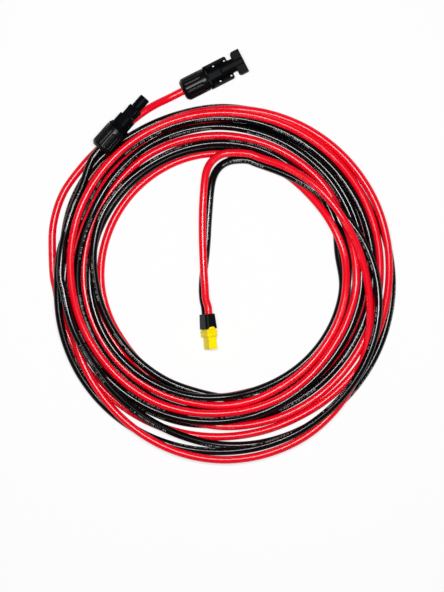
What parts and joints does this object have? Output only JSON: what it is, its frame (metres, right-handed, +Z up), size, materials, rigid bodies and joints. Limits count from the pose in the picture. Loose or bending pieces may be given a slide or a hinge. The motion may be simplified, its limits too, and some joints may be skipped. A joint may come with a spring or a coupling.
{
  "type": "solar cable connector",
  "caption": "Coiled red and black solar adapter lead with a yellow two-pole plug at one end and a pair of locking screw-gland couplers at the other.",
  "frame": {"origin": "centre of the bounding box on the floor that the coiled lead lies on", "axes": "+Z up from the floor, +Y towards the mouth coupler's end of the coil, +X to the right when the lead is seen from above"},
  "size_m": [0.2785, 0.3314, 0.0247],
  "materials": {
    "red_jacket": "smooth glossy cable jacket",
    "black_jacket": "smooth glossy cable jacket",
    "black_nylon": "moulded, satin",
    "yellow_nylon": "moulded, semi-gloss",
    "black_rubber": "matt",
    "gold_plate": "bright plating",
    "tin_plate": "bright plating",
    "spring_steel": "rolled strip",
    "tinned_copper": "stranded wire"
  },
  "bodies": {
    "lead": {"red_pigtail": "red_jacket", "red_coil": "red_jacket", "red_tail": "red_jacket", "black_pigtail": "black_jacket", "black_coil": "black_jacket", "black_tail": "black_jacket", "plug_housing": "yellow_nylon", "plug_cap": "black_nylon", "plug_socket_plus": "gold_plate", "plug_conductor_plus": "tinned_copper", "plug_sleeve_plus": "black_rubber", "plug_socket_minus": "gold_plate", "plug_conductor_minus": "tinned_copper", "plug_sleeve_minus": "black_rubber", "mouth_housing": "black_nylon", "mouth_seal": "black_rubber", "mouth_clip": "spring_steel", "mouth_conductor": "tinned_copper", "mouth_pin": "tin_plate", "nose_housing": "black_nylon", "nose_seal": "black_rubber", "nose_clip": "spring_steel", "nose_conductor": "tinned_copper", "nose_socket": "tin_plate", "nose_spring": "spring_steel", "nose_ring": "black_rubber"},
    "mouth_cage": {"mouth_collet": "black_nylon"},
    "mouth_cap_nut": {"mouth_nut": "black_nylon"},
    "nose_cage": {"nose_collet": "black_nylon"},
    "nose_cap_nut": {"nose_nut": "black_nylon"},
    "latch_upper": {"nose_arm_upper": "black_nylon"},
    "latch_lower": {"nose_arm_lower": "black_nylon"}
  },
  "joints": [
    {"name": "mouth_cage_slide", "type": "slide", "parent": "lead", "child": "mouth_cage", "axis": [-0.891, -0.454, 0], "range_m": [0, 0.006]},
    {"name": "mouth_nut_turn", "type": "hinge", "parent": "mouth_cage", "child": "mouth_cap_nut", "pos_m": [-0.0312, 0.13214, 0.0093], "axis": [-0.891, -0.454, 0], "range_deg": [0, 1080]},
    {"name": "nose_cage_slide", "type": "slide", "parent": "lead", "child": "nose_cage", "axis": [-0.6613, -0.7501, 0], "range_m": [0, 0.006]},
    {"name": "nose_nut_turn", "type": "hinge", "parent": "nose_cage", "child": "nose_cap_nut", "pos_m": [-0.09732, 0.08522, 0.01482], "axis": [-0.6613, -0.7501, 0], "range_deg": [0, 1080]},
    {"name": "latch_upper_squeeze", "type": "hinge", "parent": "lead", "child": "latch_upper", "pos_m": [-0.07783, 0.10937, 0.02118], "axis": [-0.7337, 0.6469, -0.2079], "range_deg": [0, 6], "stiffness_Nm_per_rad": 0.3},
    {"name": "latch_lower_squeeze", "type": "hinge", "parent": "lead", "child": "latch_lower", "pos_m": [-0.07581, 0.10758, 0.00846], "axis": [0.7337, -0.6469, 0.2079], "range_deg": [0, 6], "stiffness_Nm_per_rad": 0.3}
  ],
  "couplings": [
    {"joint": "mouth_cage_slide", "follows": "mouth_nut_turn", "m_per_rad": 0.0003183},
    {"joint": "nose_cage_slide", "follows": "nose_nut_turn", "m_per_rad": 0.0003183}
  ]
}
